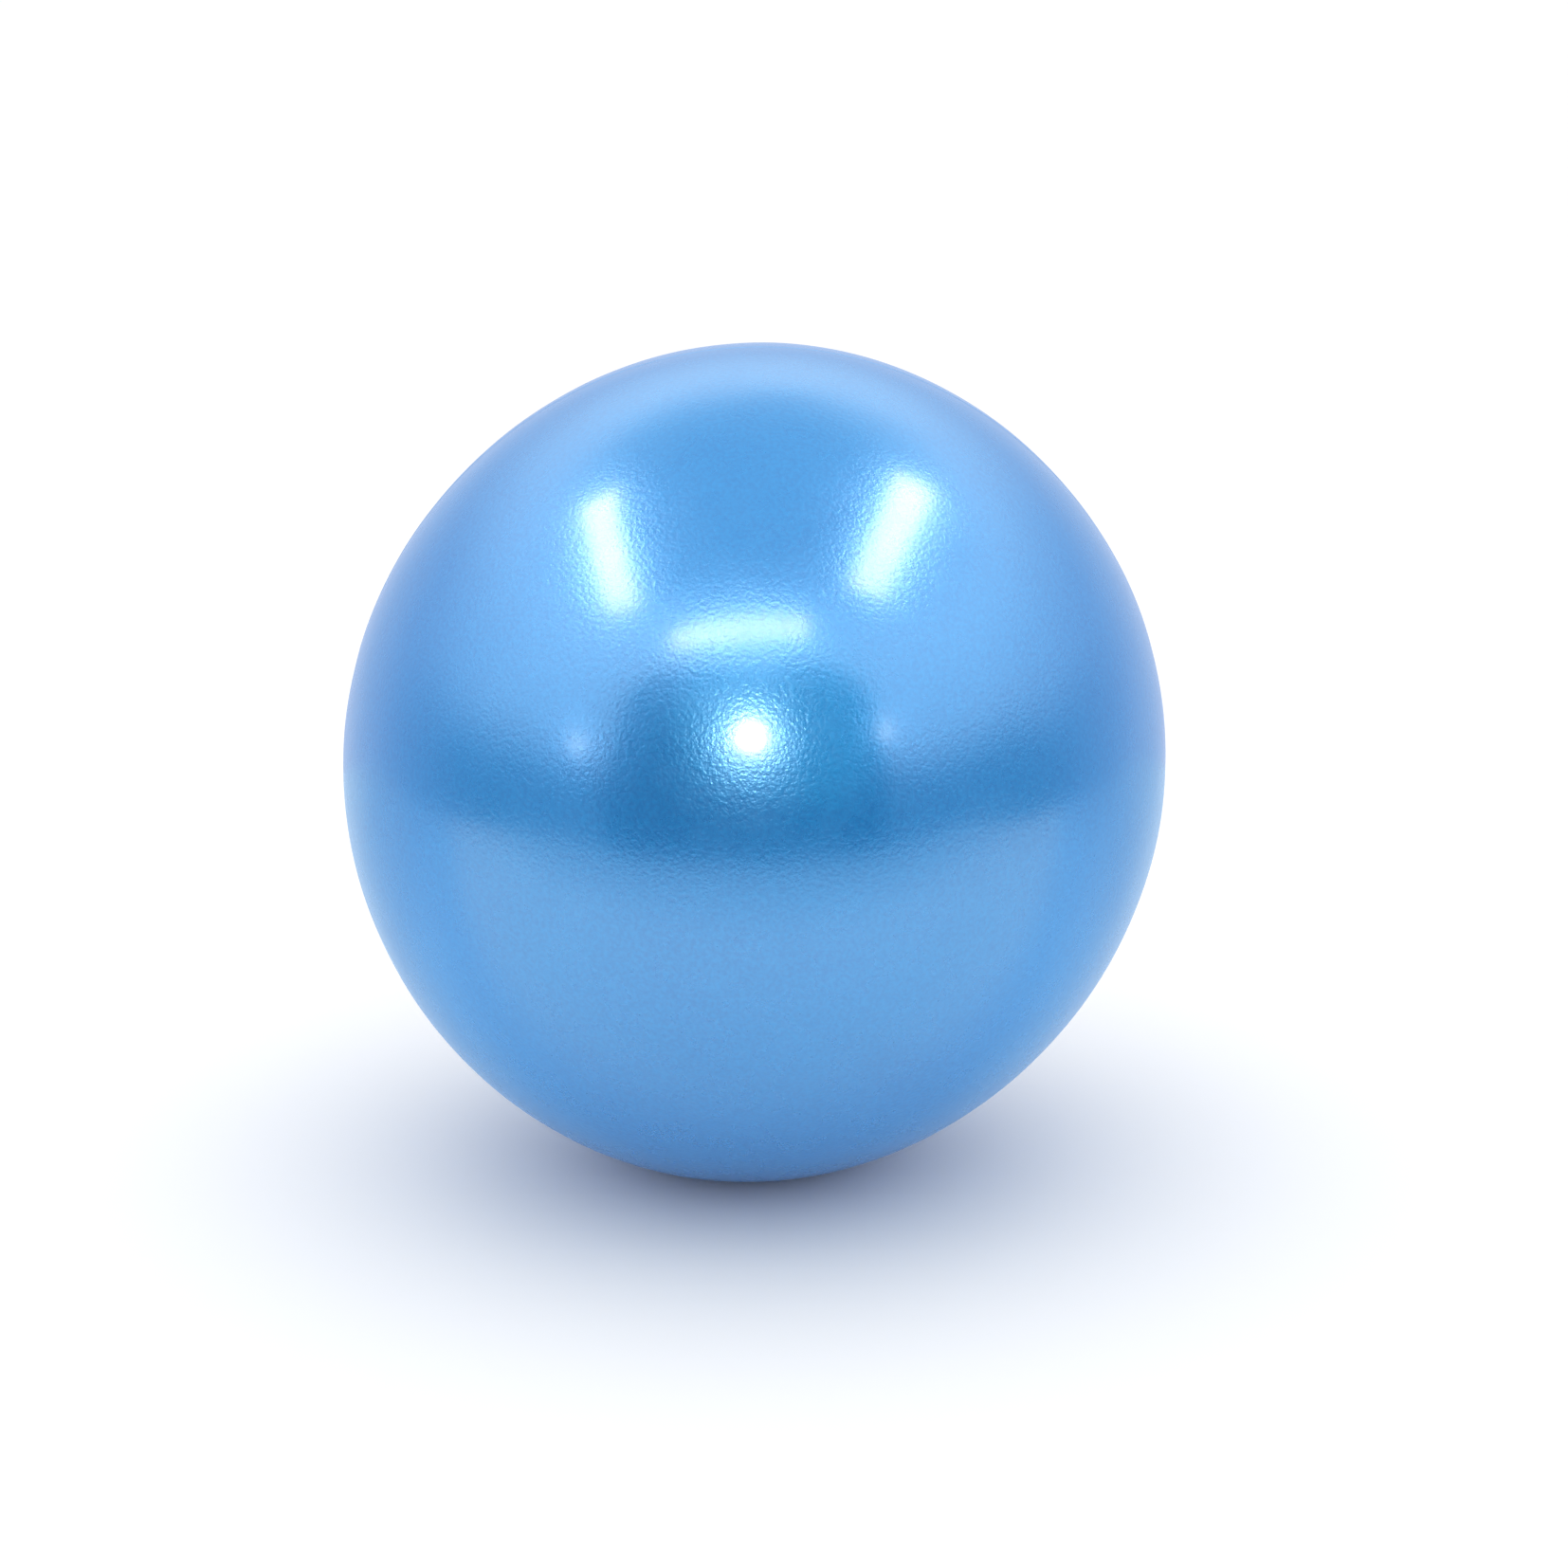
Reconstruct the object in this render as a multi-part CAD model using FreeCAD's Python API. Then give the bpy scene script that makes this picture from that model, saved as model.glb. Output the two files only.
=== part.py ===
import FreeCAD, Part
import math
import os

from FreeCAD import Vector

# Inflatable exercise ball of the soft 25 cm size, standing on the floor at working pressure.
#
# Row frame: millimetres, +Z up, origin on the floor under the middle of the ball. The valve is at the
# rear pole and its axis is +Y, so the front of the ball, towards -Y, is plain.
#
#   ball_skin    one rotation-moulded PVC skin, slightly taller than wide, resting on a small flat
#   valve_seat   moulded PVC insert that is fused into the hole in the skin, with the filling bore
#   valve_plug   solid polyethylene stopper that pulls out of the bore along +Y

# Skin
width = 250.0               # across the widest part
moulded_height = 255.0      # before the ball's own weight flattens its base
skin = 0.7                  # wall of the inflated skin
base_flattening = 2.0       # how far the floor pushes the base up
base_roll = 60.0            # radius of the roll between the flat on the floor and the wall

# The valve's dish, which keeps the plug below the ball's outline
dish_radius = 13.0
dish_depth = 1.5
dish_edge_round = 9.0

# Valve seat
seat_neck_radius = 8.0      # the part that fills the hole in the skin
seat_flange_radius = 15.0   # the part bonded to the inside of the skin
seat_flange = 1.5           # thickness of the flange
seat_tube_radius = 6.0
seat_length = 16.0          # from the dish floor to the inner end of the tube
recess_radius = 6.0         # round recess that takes the plug's head
recess_depth = 1.7
bore_radius = 2.5
bore_lead_in = 0.5

# Plug
head_radius = 5.7
head_thickness = 1.5
head_cup_radius = 3.9       # shallow cup in the top of the head
head_cup_depth = 0.45
gate_mark_radius = 0.7      # the small nub left where the plug was moulded
gate_mark_height = 0.2
running_gap = 0.05          # between the sealing ribs and the bore
shank_radius = 2.15
tip_radius = 1.6
shank_length = 18.5
rib_count = 3
rib_pitch = 3.6
first_rib = 3.0             # from the underside of the head to the first rib's crest
rib_rise = 0.35             # length of a rib's steep side, which faces the head
rib_run = 1.5               # length of its long side, which faces the tip

# Worked out
half_width = width / 2
half_height = moulded_height / 2
centre_height = half_height - base_flattening
dish_floor = half_width - dish_depth            # along the valve axis, from the middle of the ball
recess_floor = dish_floor - recess_depth
seat_end = dish_floor - seat_length


def inward_normal(across, up, angle):
    """The ellipse's inward unit normal at a parameter angle, as (r, z)."""
    r = math.cos(angle) / across
    z = math.sin(angle) / up
    size = math.hypot(r, z)
    return -r / size, -z / size


def base_roll_joins(across, up, floor, roll):
    """The parameter angle at which an arc of radius roll, standing on the floor, runs into the ellipse."""
    low, high = -math.pi / 2, -math.pi / 4
    for _ in range(60):
        angle = (low + high) / 2
        arc_centre = centre_height + up * math.sin(angle) + roll * inward_normal(across, up, angle)[1]
        if arc_centre < floor + roll:
            low = angle
        else:
            high = angle
    return angle


def ball_envelope(inset):
    """The closed ball, everywhere `inset` inside the outer surface: flat base, roll and ellipsoid."""
    across, up, roll = half_width - inset, half_height - inset, base_roll - inset
    angle = base_roll_joins(across, up, inset, roll)
    normal = inward_normal(across, up, angle)
    joint = Vector(across * math.cos(angle), 0, centre_height + up * math.sin(angle))
    arc_centre = Vector(joint.x + roll * normal[0], 0, inset + roll)
    half_turn = math.atan2(joint.x - arc_centre.x, arc_centre.z - joint.z) / 2
    arc_middle = arc_centre + Vector(roll * math.sin(half_turn), 0, -roll * math.cos(half_turn))
    flat_end = Vector(arc_centre.x, 0, inset)
    bottom = Vector(0, 0, inset)
    centre = Vector(0, 0, centre_height)
    top = centre + Vector(0, 0, up)

    ellipse = Part.Ellipse(top, centre + Vector(across, 0, 0), centre)
    side = Part.ArcOfEllipse(ellipse, ellipse.parameter(joint), ellipse.parameter(top))
    if side.toShape().Length > math.pi * up:
        side = Part.ArcOfEllipse(ellipse, ellipse.parameter(top), ellipse.parameter(joint))
    edges = [
        Part.LineSegment(bottom, flat_end).toShape(),
        Part.Arc(flat_end, arc_middle, joint).toShape(),
        side.toShape(),
        Part.LineSegment(top, bottom).toShape(),
    ]
    meridian = Part.Face(Part.Wire(Part.__sortEdges__(edges)))
    return meridian.revolve(Vector(0, 0, 0), Vector(0, 0, 1), 360)


def on_valve_axis(radius, along):
    """The point `radius` above the valve axis and `along` it from the middle of the ball."""
    return Vector(0, along, centre_height + radius)


def turned(corners):
    """A solid of revolution about the valve axis. Each corner is (radius, along, rounding)."""
    count = len(corners)
    points = [on_valve_axis(r, along) for r, along, _ in corners]
    edges, starts, ends = [], [], []
    for i in range(count):
        before, here, after = points[i - 1], points[i], points[(i + 1) % count]
        rounding = corners[i][2]
        if rounding == 0:
            starts.append(here)
            ends.append(here)
            continue
        back, forward = (before - here).normalize(), (after - here).normalize()
        half_angle = math.acos(max(-1.0, min(1.0, back.dot(forward)))) / 2
        reach = rounding / math.tan(half_angle)
        bisector = (back + forward).normalize()
        middle = here + bisector * (rounding / math.sin(half_angle) - rounding)
        starts.append(here + back * reach)
        ends.append(here + forward * reach)
        edges.append(Part.Arc(starts[i], middle, ends[i]).toShape())
    for i in range(count):
        start, end = ends[i - 1], starts[i]
        if start.distanceToPoint(end) > 1e-6:
            edges.append(Part.LineSegment(start, end).toShape())
    face = Part.Face(Part.Wire(Part.__sortEdges__(edges)))
    return face.revolve(on_valve_axis(0, 0), Vector(0, 1, 0), 360)


def dish(offset):
    """The ball-shaped tool that presses the valve's dish, made larger by `offset`."""
    rim_along = math.sqrt(half_width ** 2 - dish_radius ** 2)
    hollow = rim_along - dish_floor
    radius = (dish_radius ** 2 + hollow ** 2) / (2 * hollow)
    return Part.makeSphere(radius + offset, on_valve_axis(0, dish_floor + radius))


def dished_envelope(inset):
    """The ball's envelope with the valve's dish pressed into its rear pole."""
    solid = ball_envelope(inset).cut(dish(inset))
    rims = [e for e in solid.Edges if is_dish_rim(e)]
    return solid.makeFillet(dish_edge_round, rims)


def is_dish_rim(edge):
    box = edge.BoundBox
    return box.YMin > half_width - 5 and box.XLength > dish_radius


def make_skin():
    hole = Part.makeCylinder(seat_neck_radius, 2 * dish_radius, on_valve_axis(0, seat_end), Vector(0, 1, 0))
    return dished_envelope(0).cut(dished_envelope(skin)).cut(hole)


def make_seat(skin_solid):
    flange_top = dish_floor + dish_depth
    flange_back = dish_floor - skin - seat_flange
    blank = turned([
        (0, seat_end, 0),
        (seat_tube_radius, seat_end, 0.6),
        (seat_tube_radius, flange_back, 1.5),
        (seat_flange_radius, flange_back + 0.6, 0.4),
        (seat_flange_radius, flange_top, 0),
        (0, flange_top, 0),
    ])
    recess_and_bore = turned([
        (0, seat_end - 1, 0),
        (bore_radius, seat_end - 1, 0),
        (bore_radius, recess_floor - bore_lead_in, 0),
        (bore_radius + bore_lead_in, recess_floor, 0),
        (recess_radius, recess_floor, 0.3),
        (recess_radius, dish_floor - 0.3, 0),
        (recess_radius + 0.6, dish_floor + 0.3, 0),
        (0, dish_floor + 0.3, 0),
    ])
    return blank.common(dished_envelope(0)).cut(skin_solid).cut(recess_and_bore)


def make_plug():
    head_top = recess_floor + head_thickness
    corners = [
        (0, recess_floor + head_thickness - head_cup_depth + gate_mark_height, 0),
        (gate_mark_radius, head_top - head_cup_depth + gate_mark_height, 0.1),
        (gate_mark_radius, head_top - head_cup_depth, 0.1),
        (head_cup_radius, head_top - head_cup_depth, 0.3),
        (head_cup_radius + 0.3, head_top, 0.25),
        (head_radius, head_top, 0.5),
        (head_radius, recess_floor, 0.3),
        (shank_radius, recess_floor, 0.3),
    ]
    crest = bore_radius - running_gap
    for i in range(rib_count):
        at = recess_floor - first_rib - i * rib_pitch
        corners += [
            (shank_radius, at + rib_rise, 0.1),
            (crest, at, 0.08),
            (shank_radius, at - rib_run, 0.4),
        ]
    tip = recess_floor - shank_length
    corners += [
        (tip_radius, tip, 0.9),
        (0, tip, 0),
    ]
    return turned(corners)


def export(name, shape):
    solids = shape.Solids
    if len(solids) != 1 or not shape.isValid():
        raise ValueError(f"{name} has {len(solids)} solids, valid: {shape.isValid()}")
    solids[0].exportStep(os.path.join("parts", name + ".step"))
    print(name, "volume", round(solids[0].Volume / 1000, 3), "cm3", solids[0].BoundBox)


os.makedirs("parts", exist_ok=True)
ball_skin = make_skin()
export("ball_skin", ball_skin)
export("valve_seat", make_seat(ball_skin))
export("valve_plug", make_plug())
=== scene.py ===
import math

import bpy
import numpy as np
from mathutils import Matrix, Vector


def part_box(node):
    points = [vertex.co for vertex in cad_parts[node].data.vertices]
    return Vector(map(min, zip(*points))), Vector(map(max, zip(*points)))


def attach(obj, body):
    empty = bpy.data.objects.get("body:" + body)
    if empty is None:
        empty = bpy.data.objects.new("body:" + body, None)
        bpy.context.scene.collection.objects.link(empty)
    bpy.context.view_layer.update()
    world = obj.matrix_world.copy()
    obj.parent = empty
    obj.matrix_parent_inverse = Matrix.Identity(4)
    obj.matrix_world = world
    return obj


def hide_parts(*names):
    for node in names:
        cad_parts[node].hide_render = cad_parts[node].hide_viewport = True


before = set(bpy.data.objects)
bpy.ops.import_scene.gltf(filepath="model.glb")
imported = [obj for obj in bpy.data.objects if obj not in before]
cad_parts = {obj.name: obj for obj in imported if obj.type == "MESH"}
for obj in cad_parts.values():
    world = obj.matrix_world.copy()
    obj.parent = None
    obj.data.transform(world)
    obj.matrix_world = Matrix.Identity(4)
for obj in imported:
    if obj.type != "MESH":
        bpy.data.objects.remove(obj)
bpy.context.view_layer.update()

# An inflated exercise ball with a pearl finish, on a pale floor. Everything is in metres in the CAD's
# frame: +Z up, the valve at the rear on +Y, the plain front towards -Y and the camera.

MM = 0.001

# Read from the frame
skin_low, skin_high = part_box("ball_skin")
seat_low, seat_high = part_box("valve_seat")
MIDDLE = Vector((0, 0, (seat_low.z + seat_high.z) / 2))     # where the valve's axis meets the ball's
HALF_WIDTH = -skin_low.y
HALF_HEIGHT = skin_high.z - MIDDLE.z

# The skin, as the CAD has it
WALL = 0.7 * MM
HOLE_RADIUS = 8.0 * MM
DISH_RADIUS = 13.0 * MM
DISH_DEPTH = 1.5 * MM
DISH_RIM_BLEND = 0.24 * MM              # height over which the dish runs into the ball
BASE_BLEND = 1.0 * MM                   # height over which the flat base runs into the ball

# What the CAD leaves out. The blown ball is out of round by these shares of its radius: the cosine and
# sine parts of 2, 3 and 4 waves round the Y axis.
LEAN = complex(-0.0010, 0.0086)
THREE_SIDED = complex(0.0010, 0.0015)
FOUR_SIDED = complex(0.0030, -0.0008)
TRUE_ROUND_VALVE = (24 * MM, 60 * MM)   # from true round to out of round, as distance from the valve
VALVE_SIDE = 0.5                        # cosine of the angle from the valve that its shaping stays within
PARTING_HEIGHT = 0.14 * MM
PARTING_HALF_WIDTH = 0.45 * MM
RIPPLE_COUNT = 24
RIPPLE_HEIGHT = 0.010 * MM
RIPPLE_LENGTHS = (22 * MM, 60 * MM)
WITNESS_RADIUS = 18.0 * MM              # ring left by the valve's insert in the mould
WITNESS_HEIGHT = 0.16 * MM
WITNESS_HALF_WIDTH = 0.5 * MM
PUCKERS = ((9, 1.0, 0.6), (14, 0.7, 2.0), (5, 0.5, 0.0))    # folds round the dish: count, share, phase
PUCKER_HEIGHT = 0.07 * MM
PUCKER_REACH = 5.0 * MM
RIM_DROP = 0.15 * MM                    # rounding of the skin's edge where it meets the seat
RIM_ROUND = 0.4 * MM

# Mesh density
SEGMENTS = 256
RIM_RINGS = 4
RING_STEP = 2.6 * MM
VALVE_RING_STEP = 0.45 * MM
VALVE_RINGS_TO = 25 * MM
PARTING_RING_STEP = 0.22 * MM
PARTING_RINGS_TO = 1.8 * MM
INNER_RING_STRIDE = 4
SHARP_ANGLE = math.radians(50)

# Grain of the materials
FLAKE = 1.1 * MM
FLAKE_BUMP = 0.10 * MM
PEEL = 7 * MM
PEEL_BUMP = 0.006 * MM
FLOW = 14 * MM
CLOUD = 45 * MM
SEAT_GRAIN = 0.35 * MM
SEAT_BUMP = 0.012 * MM
SEAT_PATCH = 5 * MM
PLUG_GRAIN = 0.25 * MM
PLUG_BUMP = 0.008 * MM
PLUG_PATCH = 3 * MM
PLUG_GLOW_DEPTH = 1.2 * MM              # how deep light goes into the polyethylene

# Camera
CAMERA_DISTANCE = 1.1
CAMERA_ELEVATION = math.radians(15)
CAMERA_LENS = 82.4                      # focal length and sensor width are in millimetres
SENSOR_WIDTH = 36
AIM_RIGHT = 9.1 * MM                    # the point aimed at, from the middle of the ball
AIM_DOWN = 6.6 * MM

# Floor, and the light tent that the ball reflects
FLOOR_HALF = 12.0
FLOOR_DROP = 0.5 * MM                   # keeps the floor out of the plane of the ball's flat
FLOOR_COLOUR = (0.93, 0.93, 0.93, 1)
TENT_HALF = 0.85
TENT_REAR = 0.45
OPENING_Y = -0.78                       # front edge of the tent's floor, where the tent is open
OPENING_LEFT = -0.62
OPENING_RIGHT = 0.51
OPENING_TOP = 0.73
OPENING_ROUNDING = 0.22
OPENING_COLOUR = (0.0, 0.045, 0.14, 1)
CORNER_STEPS = 9

# Painted shade of the tent's floor by Y, bluer and dimmer under and behind the ball and towards the open
# front; tones of its walls by the sine of their height over the horizon
FLOOR_PAINTED_SHADE_TONES = (
    (-0.78, (0.35, 0.52, 0.66)),
    (-0.45, (0.72, 0.84, 0.90)),
    (-0.26, (1.00, 1.00, 1.00)),
    (-0.12, (0.94, 0.97, 0.98)),
    (-0.05, (0.56, 0.77, 0.97)),
    (0.10, (0.50, 0.64, 0.82)),
)
WALL_TONES = (
    (-0.20, (0.08, 0.14, 0.22)),
    (0.05, (0.11, 0.19, 0.28)),
    (0.30, (0.74, 0.80, 0.86)),
    (0.60, (0.88, 0.93, 0.97)),
    (0.88, (0.34, 0.50, 0.62)),
)
REAR_TONE = (0.33, 0.39, 0.54, 1)
REAR_BY_Y = (-0.2, 0.6)                 # it comes in as a direction's Y goes from one to the other
REAR_BY_HEIGHT = (0.3, 0.7)             # and goes out as its Z does
TENT_STRENGTH = 1.7
SOFT_STRENGTH = 1.10
WHITE = (1, 1, 1, 1)

# Lamps
CEILING = 0.80
STRIPS = (                              # name, start and end as (x, y), width, watts
    ("left_strip", (-0.427, 0.107), (-0.495, -0.431), 0.13, 2.10),
    ("right_strip", (0.417, 0.149), (0.373, -0.404), 0.13, 2.05),
    ("front_strip", (-0.358, -0.655), (0.202, -0.628), 0.10, 1.60),
)
STRIP_COLOUR = (1.0, 0.82, 0.74)
GLINTS = (                              # name, way from the middle of the ball, watts
    ("left_glint", (-0.71, -0.63, 0.24), 0.24),
    ("right_glint", (0.535, -0.76, 0.32), 0.30),
)
GLINT_DISTANCE = 1.5
GLINT_WIDTH = 0.11
GLINT_COLOUR = (0.8, 0.95, 1.0)
SOFT_WIDTH = 1.0
SOFT_WATTS = 1.6
SOFT_COLOUR = (1, 1, 1)
FLASH_PLACE = Vector((-0.025, 0.10, 0))     # how far right of, above and behind the camera
FLASH_WIDTH = 0.03
FLASH_WATTS = 2.5
FLASH_COLOUR = (0.95, 0.84, 0.68)
GLOW_PLACE = Vector((0.07, 0.11, -0.36))    # the wide glow round the flash, counted the same way
GLOW_WIDTH = 0.70
GLOW_WATTS = 0.50
GLOW_COLOUR = (0.05, 0.9, 1.0)


# ---------------------------------------------------------------- ball skin

def smooth_step(x, start, end):
    t = np.clip((x - start) / (end - start), 0, 1)
    return t * t * (3 - 2 * t)


def smooth_min(a, b, blend):
    near = np.maximum(blend - np.abs(a - b), 0) / blend
    return np.minimum(a, b) - near * near * blend / 4


def bump(x, half_width):
    return np.exp(-((x / half_width) ** 2))


def out_of_round(direction):
    """Share of the radius that the blown skin stands out along each unit direction."""
    across = direction[:, 0] + 1j * direction[:, 2]
    waves = zip((LEAN, THREE_SIDED, FOUR_SIDED), (2, 3, 4))
    return sum((np.conj(size) * across ** count).real for size, count in waves)


def ripples(points):
    """Faint long waves of a blown skin, as a sum of plane waves in fixed directions."""
    rng = np.random.default_rng(11)
    height = np.zeros(len(points))
    for _ in range(RIPPLE_COUNT):
        way = rng.normal(size=3)
        way /= np.linalg.norm(way)
        length = rng.uniform(*RIPPLE_LENGTHS)
        height += RIPPLE_HEIGHT * np.sin(points @ way * 2 * math.pi / length + rng.uniform(0, 2 * math.pi))
    return height


def blown_ball(direction):
    """The skin's outer surface along unit directions from the middle of the ball, without the valve."""
    x, y, z = direction.T
    reach = 1 / np.sqrt((x ** 2 + y ** 2) / HALF_WIDTH ** 2 + z ** 2 / HALF_HEIGHT ** 2)
    round_here = smooth_step(np.hypot(x, z) * HALF_WIDTH, *TRUE_ROUND_VALVE)
    away_from_valve = np.where(y > 0, round_here, 1.0)
    reach *= 1 + away_from_valve * out_of_round(direction)
    reach += away_from_valve * ripples(direction * reach[:, None])
    reach += PARTING_HEIGHT * bump(y * reach, PARTING_HALF_WIDTH)
    point = direction * reach[:, None]
    point[:, 2] = -smooth_min(-point[:, 2], np.full(len(point), MIDDLE.z), BASE_BLEND)
    return point


def dish_surface(radius):
    """The valve's dish, as distance along the valve's axis from the middle of the ball."""
    floor = HALF_WIDTH - DISH_DEPTH
    hollow = math.sqrt(HALF_WIDTH ** 2 - DISH_RADIUS ** 2) - floor
    ball = (DISH_RADIUS ** 2 + hollow ** 2) / (2 * hollow)
    inside = np.minimum(radius, 2 * DISH_RADIUS)
    return floor + ball - np.sqrt(ball ** 2 - inside ** 2)


def valve_surroundings(point):
    """How far along the valve's axis the skin lies round the valve: dish, mould ring, folds and rim."""
    radius = np.hypot(point[:, 0], point[:, 2])
    angle = np.arctan2(point[:, 2], point[:, 0])
    along = smooth_min(point[:, 1], dish_surface(radius), DISH_RIM_BLEND)
    along += WITNESS_HEIGHT * bump(radius - WITNESS_RADIUS, WITNESS_HALF_WIDTH)
    folds = sum(share * np.sin(count * angle + phase) for count, share, phase in PUCKERS)
    folds *= bump(radius - DISH_RADIUS, PUCKER_REACH) * smooth_step(radius, HOLE_RADIUS, DISH_RADIUS)
    along += PUCKER_HEIGHT * folds
    along -= RIM_DROP * (1 - smooth_step(radius, HOLE_RADIUS, HOLE_RADIUS + RIM_ROUND))
    return along


def outer_surface(direction):
    """The skin's outer surface along unit directions from the middle of the ball."""
    point = blown_ball(direction)
    on_valve_side = direction[:, 1] > VALVE_SIDE
    point[:, 1] = np.where(on_valve_side, valve_surroundings(point), point[:, 1])
    return point


def steps(start, end, step):
    """Values from start up to, but not including, end, about one step apart."""
    return np.linspace(start, end, max(1, round((end - start) / step)), endpoint=False)


def ring_angles():
    """Angles from the valve's axis of the rings, close together at the valve and the parting line."""
    quarter = HALF_WIDTH * math.pi / 2
    rim = steps(HOLE_RADIUS, HOLE_RADIUS + RIM_ROUND, RIM_ROUND / RIM_RINGS)
    valve = steps(HOLE_RADIUS + RIM_ROUND, VALVE_RINGS_TO, VALVE_RING_STEP)
    rear = steps(VALVE_RINGS_TO, quarter - PARTING_RINGS_TO, RING_STEP)
    parting = steps(quarter - PARTING_RINGS_TO, quarter + PARTING_RINGS_TO, PARTING_RING_STEP)
    front = steps(quarter + PARTING_RINGS_TO, 2 * quarter, RING_STEP)
    from_axis = np.concatenate([rim, valve])            # straight distances, where the others are arcs
    arcs = np.concatenate([rear, parting, front])
    return np.concatenate([np.arcsin(from_axis / HALF_WIDTH), arcs / HALF_WIDTH])


def ring_faces(ring_count, first, step, flipped):
    """Quads between rings of SEGMENTS points each, whose first points are `first` and every `step` on."""
    here = np.arange(SEGMENTS)
    beside = (here + 1) % SEGMENTS
    faces = []
    for ring in range(ring_count - 1):
        near, far = first + ring * step, first + (ring + 1) * step
        quads = np.stack([near + here, far + here, far + beside, near + beside], axis=1)
        faces += (quads[:, ::-1] if flipped else quads).tolist()
    return faces


def pole_faces(ring, pole, flipped):
    """Triangles from the ring whose first point is `ring` to the point `pole`."""
    corners = [[ring + i, pole, ring + (i + 1) % SEGMENTS] for i in range(SEGMENTS)]
    return [c[::-1] for c in corners] if flipped else corners


def mesh_of(name, points, faces):
    mesh = bpy.data.meshes.new(name)
    mesh.from_pydata(points, [], faces)
    mesh.validate()
    mesh.shade_smooth()
    return mesh


def vertex_normals(points, faces):
    mesh = mesh_of("outer", points, faces)
    normals = np.zeros(len(points) * 3)
    mesh.vertex_normals.foreach_get("vector", normals)
    bpy.data.meshes.remove(mesh)
    return normals.reshape(-1, 3)


def make_skin():
    """Closed skin: the outer surface, the wall of the valve's hole and the inner surface."""
    angles = ring_angles()
    turn = np.arange(SEGMENTS) * 2 * math.pi / SEGMENTS
    away, round_axis = np.meshgrid(angles, turn, indexing="ij")
    direction = np.stack([
        np.sin(away) * np.cos(round_axis),
        np.cos(away),
        np.sin(away) * np.sin(round_axis),
    ], axis=-1).reshape(-1, 3)
    direction = np.vstack([direction, [0, -1, 0]])
    outer = outer_surface(direction) + np.array(MIDDLE)
    pole = len(outer) - 1
    faces = ring_faces(len(angles), 0, SEGMENTS, True)
    faces += pole_faces(pole - SEGMENTS, pole, True)

    kept = range(0, len(angles), INNER_RING_STRIDE)
    picked = [ring * SEGMENTS + i for ring in kept for i in range(SEGMENTS)] + [pole]
    inner = (outer - WALL * vertex_normals(outer, faces))[picked]
    first = len(outer)
    inner_pole = first + len(inner) - 1
    faces += ring_faces(len(kept), first, SEGMENTS, False)
    faces += pole_faces(inner_pole - SEGMENTS, inner_pole, False)
    faces += ring_faces(2, 0, first, False)

    mesh = mesh_of("ball_skin_detailed", np.vstack([outer, inner]), faces)
    mesh.set_sharp_from_angle(angle=SHARP_ANGLE)
    skin = bpy.data.objects.new("ball_skin_detailed", mesh)
    bpy.context.scene.collection.objects.link(skin)
    return skin


# ---------------------------------------------------------------- materials

# Sockets of a Mix node that mixes colours
MIX_FIRST, MIX_SECOND, MIX_RESULT = 6, 7, 2


class Nodes:
    """A node tree being written, with short calls for its nodes and links."""

    def __init__(self, tree):
        self.tree = tree

    def feed(self, socket, value):
        """Link another node's socket to this one, or set a plain value on it."""
        if isinstance(value, bpy.types.NodeSocket):
            self.tree.links.new(value, socket)
        else:
            socket.default_value = value

    def add(self, kind, inputs=(), **settings):
        node = self.tree.nodes.new(kind)
        for name, value in settings.items():
            setattr(node, name, value)
        for socket, value in dict(inputs).items():
            self.feed(node.inputs[socket], value)
        return node

    def noise(self, where, size, detail=2.0, roughness=0.5):
        """Noise whose features are about `size` metres across, from 0 to 1."""
        inputs = {"Vector": where, "Scale": 1 / size, "Detail": detail, "Roughness": roughness}
        return self.add("ShaderNodeTexNoise", inputs).outputs["Fac"]

    def ranged(self, value, low, high, start=0.3, end=0.7):
        """The value's span from start to end, mapped to low and high."""
        inputs = {"Value": value, "From Min": start, "From Max": end, "To Min": low, "To Max": high}
        return self.add("ShaderNodeMapRange", inputs).outputs["Result"]

    def mixed(self, share, first, second):
        """The first colour where share is 0, the second where it is 1."""
        node = self.add("ShaderNodeMix", {"Factor": share}, data_type="RGBA")
        self.feed(node.inputs[MIX_FIRST], first)
        self.feed(node.inputs[MIX_SECOND], second)
        return node.outputs[MIX_RESULT]

    def ramp(self, value, tones):
        """A colour that changes smoothly with a value from -1 to 1. Each tone is (value, (r, g, b))."""
        node = self.add("ShaderNodeValToRGB", {"Fac": self.ranged(value, 0.0, 1.0, -1.0, 1.0)})
        node.color_ramp.interpolation = "EASE"
        stops = node.color_ramp.elements
        while len(stops) < len(tones):
            stops.new(0.5)
        for stop, (at, tone) in zip(stops, tones):
            stop.position = (at + 1) / 2
            stop.color = (*tone, 1)
        return node.outputs["Color"]

    def product(self, first, second):
        return self.add("ShaderNodeMath", {0: first, 1: second}, operation="MULTIPLY").outputs[0]

    def bumped(self, height, depth, normal=None):
        inputs = {"Height": height, "Distance": depth}
        if normal is not None:
            inputs["Normal"] = normal
        return self.add("ShaderNodeBump", inputs).outputs["Normal"]

    def either(self, share, first, second):
        """The first shader where share is 0, the second where it is 1."""
        return self.add("ShaderNodeMixShader", {0: share, 1: first, 2: second}).outputs["Shader"]

    def background(self, colour, strength):
        return self.add("ShaderNodeBackground", {"Color": colour, "Strength": strength}).outputs[0]


def new_material(name):
    """A material with one Principled shader, as (material, its nodes, the shader)."""
    material = bpy.data.materials.new(name)
    material.use_nodes = True
    nodes = Nodes(material.node_tree)
    shader = next(n for n in nodes.tree.nodes if n.type == "BSDF_PRINCIPLED")
    return material, nodes, shader


def set_sockets(nodes, shader, **values):
    for name, value in values.items():
        nodes.feed(shader.inputs[name.replace("_", " ")], value)


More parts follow.
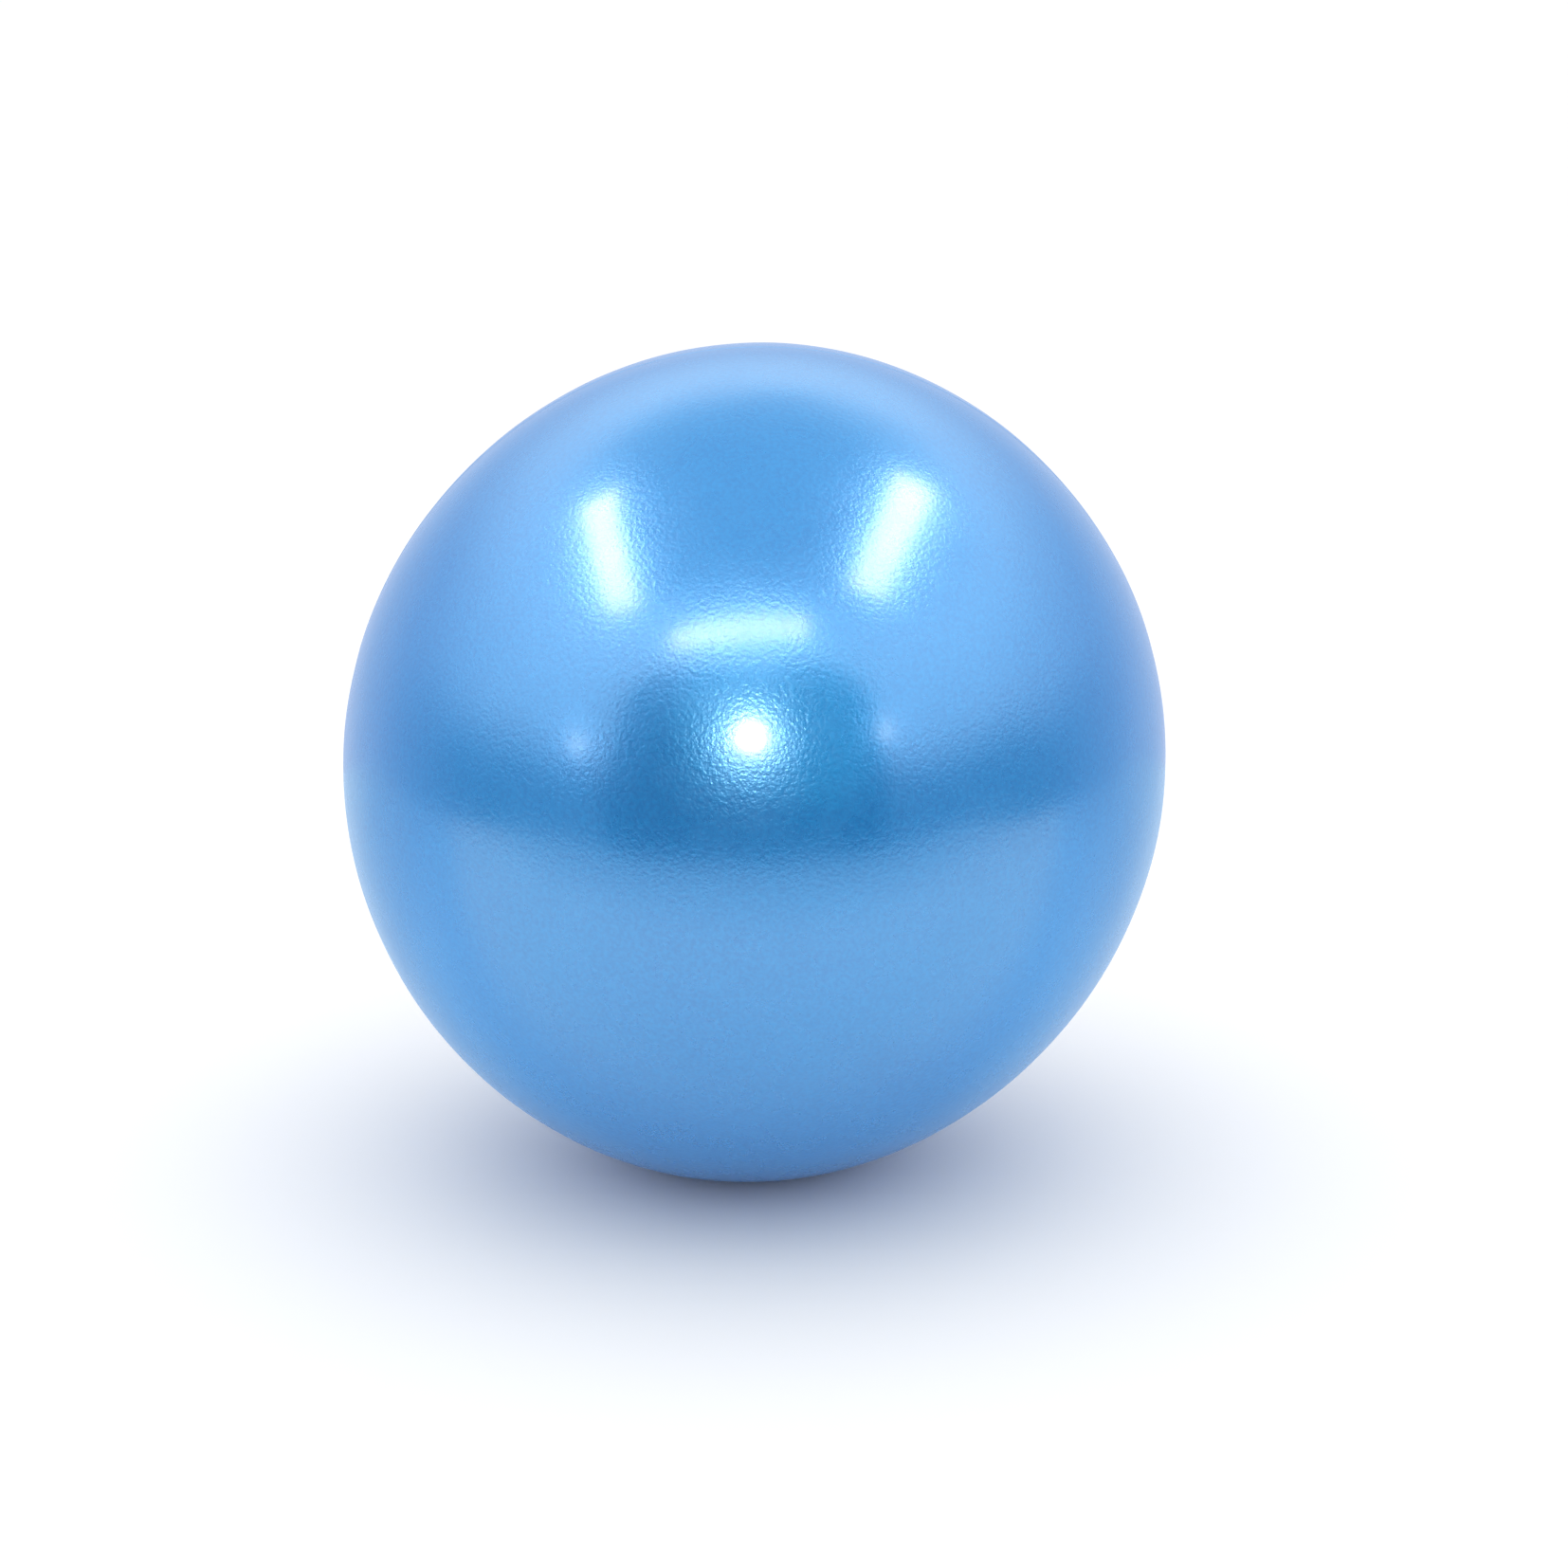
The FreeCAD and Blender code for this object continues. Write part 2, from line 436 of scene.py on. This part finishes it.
def pearl_skin():
    """Blue PVC filled with pearl flakes: a deep blue body, a cyan-white flake glow and a clear skin."""
    material, nodes, shader = new_material("pearl_blue_pvc")
    where = nodes.add("ShaderNodeTexCoord").outputs["Object"]
    flakes = nodes.noise(where, FLAKE, detail=1.0)
    clouds = nodes.noise(where, CLOUD, detail=3.0)
    flow = nodes.noise(where, FLOW, detail=4.0, roughness=0.6)
    peel = nodes.noise(where, PEEL, detail=1.0)

    deep = (0.001, 0.168, 0.520, 1)
    bright = (0.002, 0.290, 0.710, 1)
    pale = (0.005, 0.315, 0.750, 1)
    body = nodes.mixed(nodes.ranged(flakes, 0.25, 0.75), deep, bright)
    body = nodes.mixed(nodes.ranged(clouds, 0.0, 0.22), body, pale)
    body = nodes.mixed(nodes.ranged(flow, 0.0, 0.10), body, deep)
    set_sockets(
        nodes, shader,
        Base_Color=body,
        Metallic=0.40,
        Roughness=nodes.ranged(flow, 0.25, 0.31),
        IOR=2.3,
        Specular_Tint=(0.78, 1.0, 0.90, 1),
        Normal=nodes.bumped(flakes, FLAKE_BUMP, nodes.bumped(peel, PEEL_BUMP)),
        Coat_Weight=1.0,
        Coat_Roughness=0.17,
        Coat_IOR=1.60,
        Sheen_Weight=0.06,
        Sheen_Roughness=0.40,
        Sheen_Tint=(0.75, 0.82, 1.0, 1),
    )
    return material


def seat_pvc():
    """The same PVC without the pearl, satin, with the fine grain of a machined mould."""
    material, nodes, shader = new_material("seat_blue_pvc")
    where = nodes.add("ShaderNodeTexCoord").outputs["Object"]
    grain = nodes.noise(where, SEAT_GRAIN, detail=3.0)
    patches = nodes.noise(where, SEAT_PATCH)
    dark = (0.018, 0.140, 0.440, 1)
    light = (0.030, 0.185, 0.520, 1)
    set_sockets(
        nodes, shader,
        Base_Color=nodes.mixed(nodes.ranged(patches, 0.0, 1.0), dark, light),
        Roughness=nodes.ranged(grain, 0.38, 0.52),
        Normal=nodes.bumped(grain, SEAT_BUMP),
        Coat_Weight=0.2,
        Coat_Roughness=0.35,
    )
    return material


def plug_polyethylene():
    """White polyethylene: slightly waxy and see-through at its edges, with a dull moulded grain."""
    material, nodes, shader = new_material("white_polyethylene")
    where = nodes.add("ShaderNodeTexCoord").outputs["Object"]
    grain = nodes.noise(where, PLUG_GRAIN, detail=3.0)
    patches = nodes.noise(where, PLUG_PATCH)
    white = (0.80, 0.82, 0.80, 1)
    grey = (0.72, 0.75, 0.74, 1)
    set_sockets(
        nodes, shader,
        Base_Color=nodes.mixed(nodes.ranged(patches, 0.0, 1.0), white, grey),
        Roughness=nodes.ranged(grain, 0.40, 0.55),
        Normal=nodes.bumped(grain, PLUG_BUMP),
        Subsurface_Weight=0.25,
        Subsurface_Radius=(1.0, 1.0, 1.0),
        Subsurface_Scale=PLUG_GLOW_DEPTH,
    )
    return material


# ---------------------------------------------------------------- studio

def plane(name, corners, material):
    mesh = bpy.data.meshes.new(name)
    mesh.from_pydata(corners, [], [list(range(len(corners)))])
    mesh.materials.append(material)
    piece = bpy.data.objects.new(name, mesh)
    bpy.context.scene.collection.objects.link(piece)
    return piece


def floor_plane(name, half, front, rear, height, material):
    corners = [(-half, front, height), (half, front, height), (half, rear, height), (-half, rear, height)]
    return plane(name, corners, material)


def new_paper(name, colour):
    """Matt paper, as (material, its nodes, the shader)."""
    material, nodes, shader = new_material(name)
    set_sockets(nodes, shader, Base_Color=colour, Roughness=0.9, Specular_IOR_Level=0.1)
    return material, nodes, shader


def floor_material():
    """Pale matt paper, seen only from above, so that a camera under the floor sees the ball."""
    material, nodes, shader = new_paper("pale_floor", FLOOR_COLOUR)
    under = nodes.add("ShaderNodeNewGeometry").outputs["Backfacing"]
    clear = nodes.add("ShaderNodeBsdfTransparent").outputs[0]
    output = next(n for n in nodes.tree.nodes if n.type == "OUTPUT_MATERIAL")
    nodes.feed(output.inputs["Surface"], nodes.either(under, shader.outputs[0], clear))
    return material


def reflected_floor_material():
    """The light tent's floor as the ball shows it, with painted shade in its colour: white in front of the
    ball, bluer and dimmer under and behind it and towards the open front.
    """
    material, nodes, shader = new_paper("reflected_floor", WHITE)
    where = nodes.add("ShaderNodeTexCoord").outputs["Object"]
    along = nodes.add("ShaderNodeSeparateXYZ", {0: where}).outputs["Y"]
    # The base colour carries painted shade: bluer and dimmer under and behind the ball and towards the
    # open front.
    set_sockets(nodes, shader, Base_Color=nodes.ramp(along, FLOOR_PAINTED_SHADE_TONES))
    return material


def glow_material(name, colour):
    material = bpy.data.materials.new(name)
    material.use_nodes = True
    nodes = Nodes(material.node_tree)
    nodes.tree.nodes.clear()
    glow = nodes.add("ShaderNodeEmission", {"Color": colour, "Strength": 1.0})
    nodes.add("ShaderNodeOutputMaterial", {"Surface": glow.outputs[0]})
    return material


def show_only_in_reflections(piece):
    piece.visible_camera = False
    piece.visible_diffuse = False
    piece.visible_shadow = False
    piece.visible_transmission = False


def make_floor():
    """The floor, and the light tent's own floor that takes its place in reflections."""
    seen = floor_plane("floor", FLOOR_HALF, -FLOOR_HALF, FLOOR_HALF, -FLOOR_DROP, floor_material())
    seen.visible_glossy = False
    paper = reflected_floor_material()
    show_only_in_reflections(floor_plane("reflected_floor", TENT_HALF, OPENING_Y, TENT_REAR, 0, paper))


def make_dark_opening():
    """The open front of the light tent and the dark room behind the camera."""
    corners = [(OPENING_LEFT, OPENING_Y, 0), (OPENING_RIGHT, OPENING_Y, 0)]
    quarter = math.pi / 2
    rounded = ((OPENING_RIGHT - OPENING_ROUNDING, 0), (OPENING_LEFT + OPENING_ROUNDING, quarter))
    for centre, start in rounded:
        for step in range(CORNER_STEPS + 1):
            turn = start + quarter * step / CORNER_STEPS
            across = centre + OPENING_ROUNDING * math.cos(turn)
            up = OPENING_TOP - OPENING_ROUNDING + OPENING_ROUNDING * math.sin(turn)
            corners.append((across, OPENING_Y, up))
    show_only_in_reflections(plane("dark_opening", corners, glow_material("dark_room", OPENING_COLOUR)))


def area_light(name, shape, width, watts, colour):
    """A lamp that the camera doesn't see."""
    light = bpy.data.lights.new(name, "AREA")
    light.shape = shape
    light.size = width
    light.energy = watts
    light.color = colour
    lamp = bpy.data.objects.new(name, light)
    lamp.visible_camera = False
    bpy.context.scene.collection.objects.link(lamp)
    return lamp


def ceiling_light(name, start, end, width, watts, colour):
    """A strip light on the ceiling, facing down, from start to end, each (x, y)."""
    start, end = Vector((*start, CEILING)), Vector((*end, CEILING))
    lamp = area_light(name, "RECTANGLE", (end - start).length, watts, colour)
    lamp.data.size_y = width
    lamp.location = (start + end) / 2
    lamp.rotation_euler = (0, 0, math.atan2(end.y - start.y, end.x - start.x))
    return lamp


def disc_light(name, place, width, watts, colour):
    """A round light facing the ball."""
    lamp = area_light(name, "DISK", width, watts, colour)
    lamp.location = place
    lamp.rotation_euler = (MIDDLE - lamp.location).to_track_quat("-Z", "Y").to_euler()
    return lamp


def make_lights(camera):
    """Lamps that show only as highlights in the skin, and a soft ceiling that shows in no reflection."""
    highlights = [ceiling_light(*strip, STRIP_COLOUR) for strip in STRIPS]
    for name, way, watts in GLINTS:
        place = MIDDLE + GLINT_DISTANCE * Vector(way)
        highlights.append(disc_light(name, place, GLINT_WIDTH, watts, GLINT_COLOUR))

    half = SOFT_WIDTH / 2
    soft = ceiling_light("soft_ceiling", (-half, 0), (half, 0), SOFT_WIDTH, SOFT_WATTS, SOFT_COLOUR)
    soft.visible_glossy = False

    flash_place = camera.matrix_world @ FLASH_PLACE
    highlights.append(disc_light("flash", flash_place, FLASH_WIDTH, FLASH_WATTS, FLASH_COLOUR))
    glow_place = camera.matrix_world @ GLOW_PLACE
    highlights.append(disc_light("flash_glow", glow_place, GLOW_WIDTH, GLOW_WATTS, GLOW_COLOUR))
    for lamp in highlights:
        lamp.visible_diffuse = False


def make_world():
    """White to the camera, even soft light on matt surfaces, and a light tent's walls in reflections."""
    world = bpy.data.worlds.new("studio")
    world.use_nodes = True
    nodes = Nodes(world.node_tree)
    nodes.tree.nodes.clear()
    way = nodes.add("ShaderNodeTexCoord").outputs["Generated"]
    parts = nodes.add("ShaderNodeSeparateXYZ", {0: way}).outputs
    walls = nodes.ramp(parts["Z"], WALL_TONES)
    behind = nodes.ranged(parts["Y"], 0.0, 1.0, *REAR_BY_Y)
    low = nodes.ranged(parts["Z"], 1.0, 0.0, *REAR_BY_HEIGHT)
    tones = nodes.mixed(nodes.product(behind, low), walls, REAR_TONE)
    tent = nodes.background(tones, TENT_STRENGTH)
    soft = nodes.background(WHITE, SOFT_STRENGTH)
    white = nodes.background(WHITE, 1.0)
    ray = nodes.add("ShaderNodeLightPath").outputs
    unseen = nodes.either(ray["Is Glossy Ray"], soft, tent)
    shown = nodes.either(ray["Is Camera Ray"], unseen, white)
    nodes.add("ShaderNodeOutputWorld", {"Surface": shown})
    bpy.context.scene.world = world


def make_camera():
    lens = bpy.data.cameras.new("camera")
    lens.lens = CAMERA_LENS
    lens.sensor_width = SENSOR_WIDTH
    camera = bpy.data.objects.new("camera", lens)
    bpy.context.scene.collection.objects.link(camera)
    back = Vector((0, -math.cos(CAMERA_ELEVATION), math.sin(CAMERA_ELEVATION)))
    up = Vector((0, math.sin(CAMERA_ELEVATION), math.cos(CAMERA_ELEVATION)))
    camera.location = MIDDLE + CAMERA_DISTANCE * back
    aim = MIDDLE + Vector((AIM_RIGHT, 0, 0)) - AIM_DOWN * up
    camera.rotation_euler = (aim - camera.location).to_track_quat("-Z", "Y").to_euler()
    bpy.context.scene.camera = camera
    bpy.context.view_layer.update()
    return camera


# ---------------------------------------------------------------- the scene

make_lights(make_camera())
make_world()
make_floor()
make_dark_opening()
bpy.context.scene.view_settings.view_transform = "Standard"

skin = make_skin()
skin.data.materials.append(pearl_skin())
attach(skin, "ball")
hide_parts("ball_skin")

for node, material in (("valve_seat", seat_pvc()), ("valve_plug", plug_polyethylene())):
    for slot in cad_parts[node].material_slots:
        slot.material = material
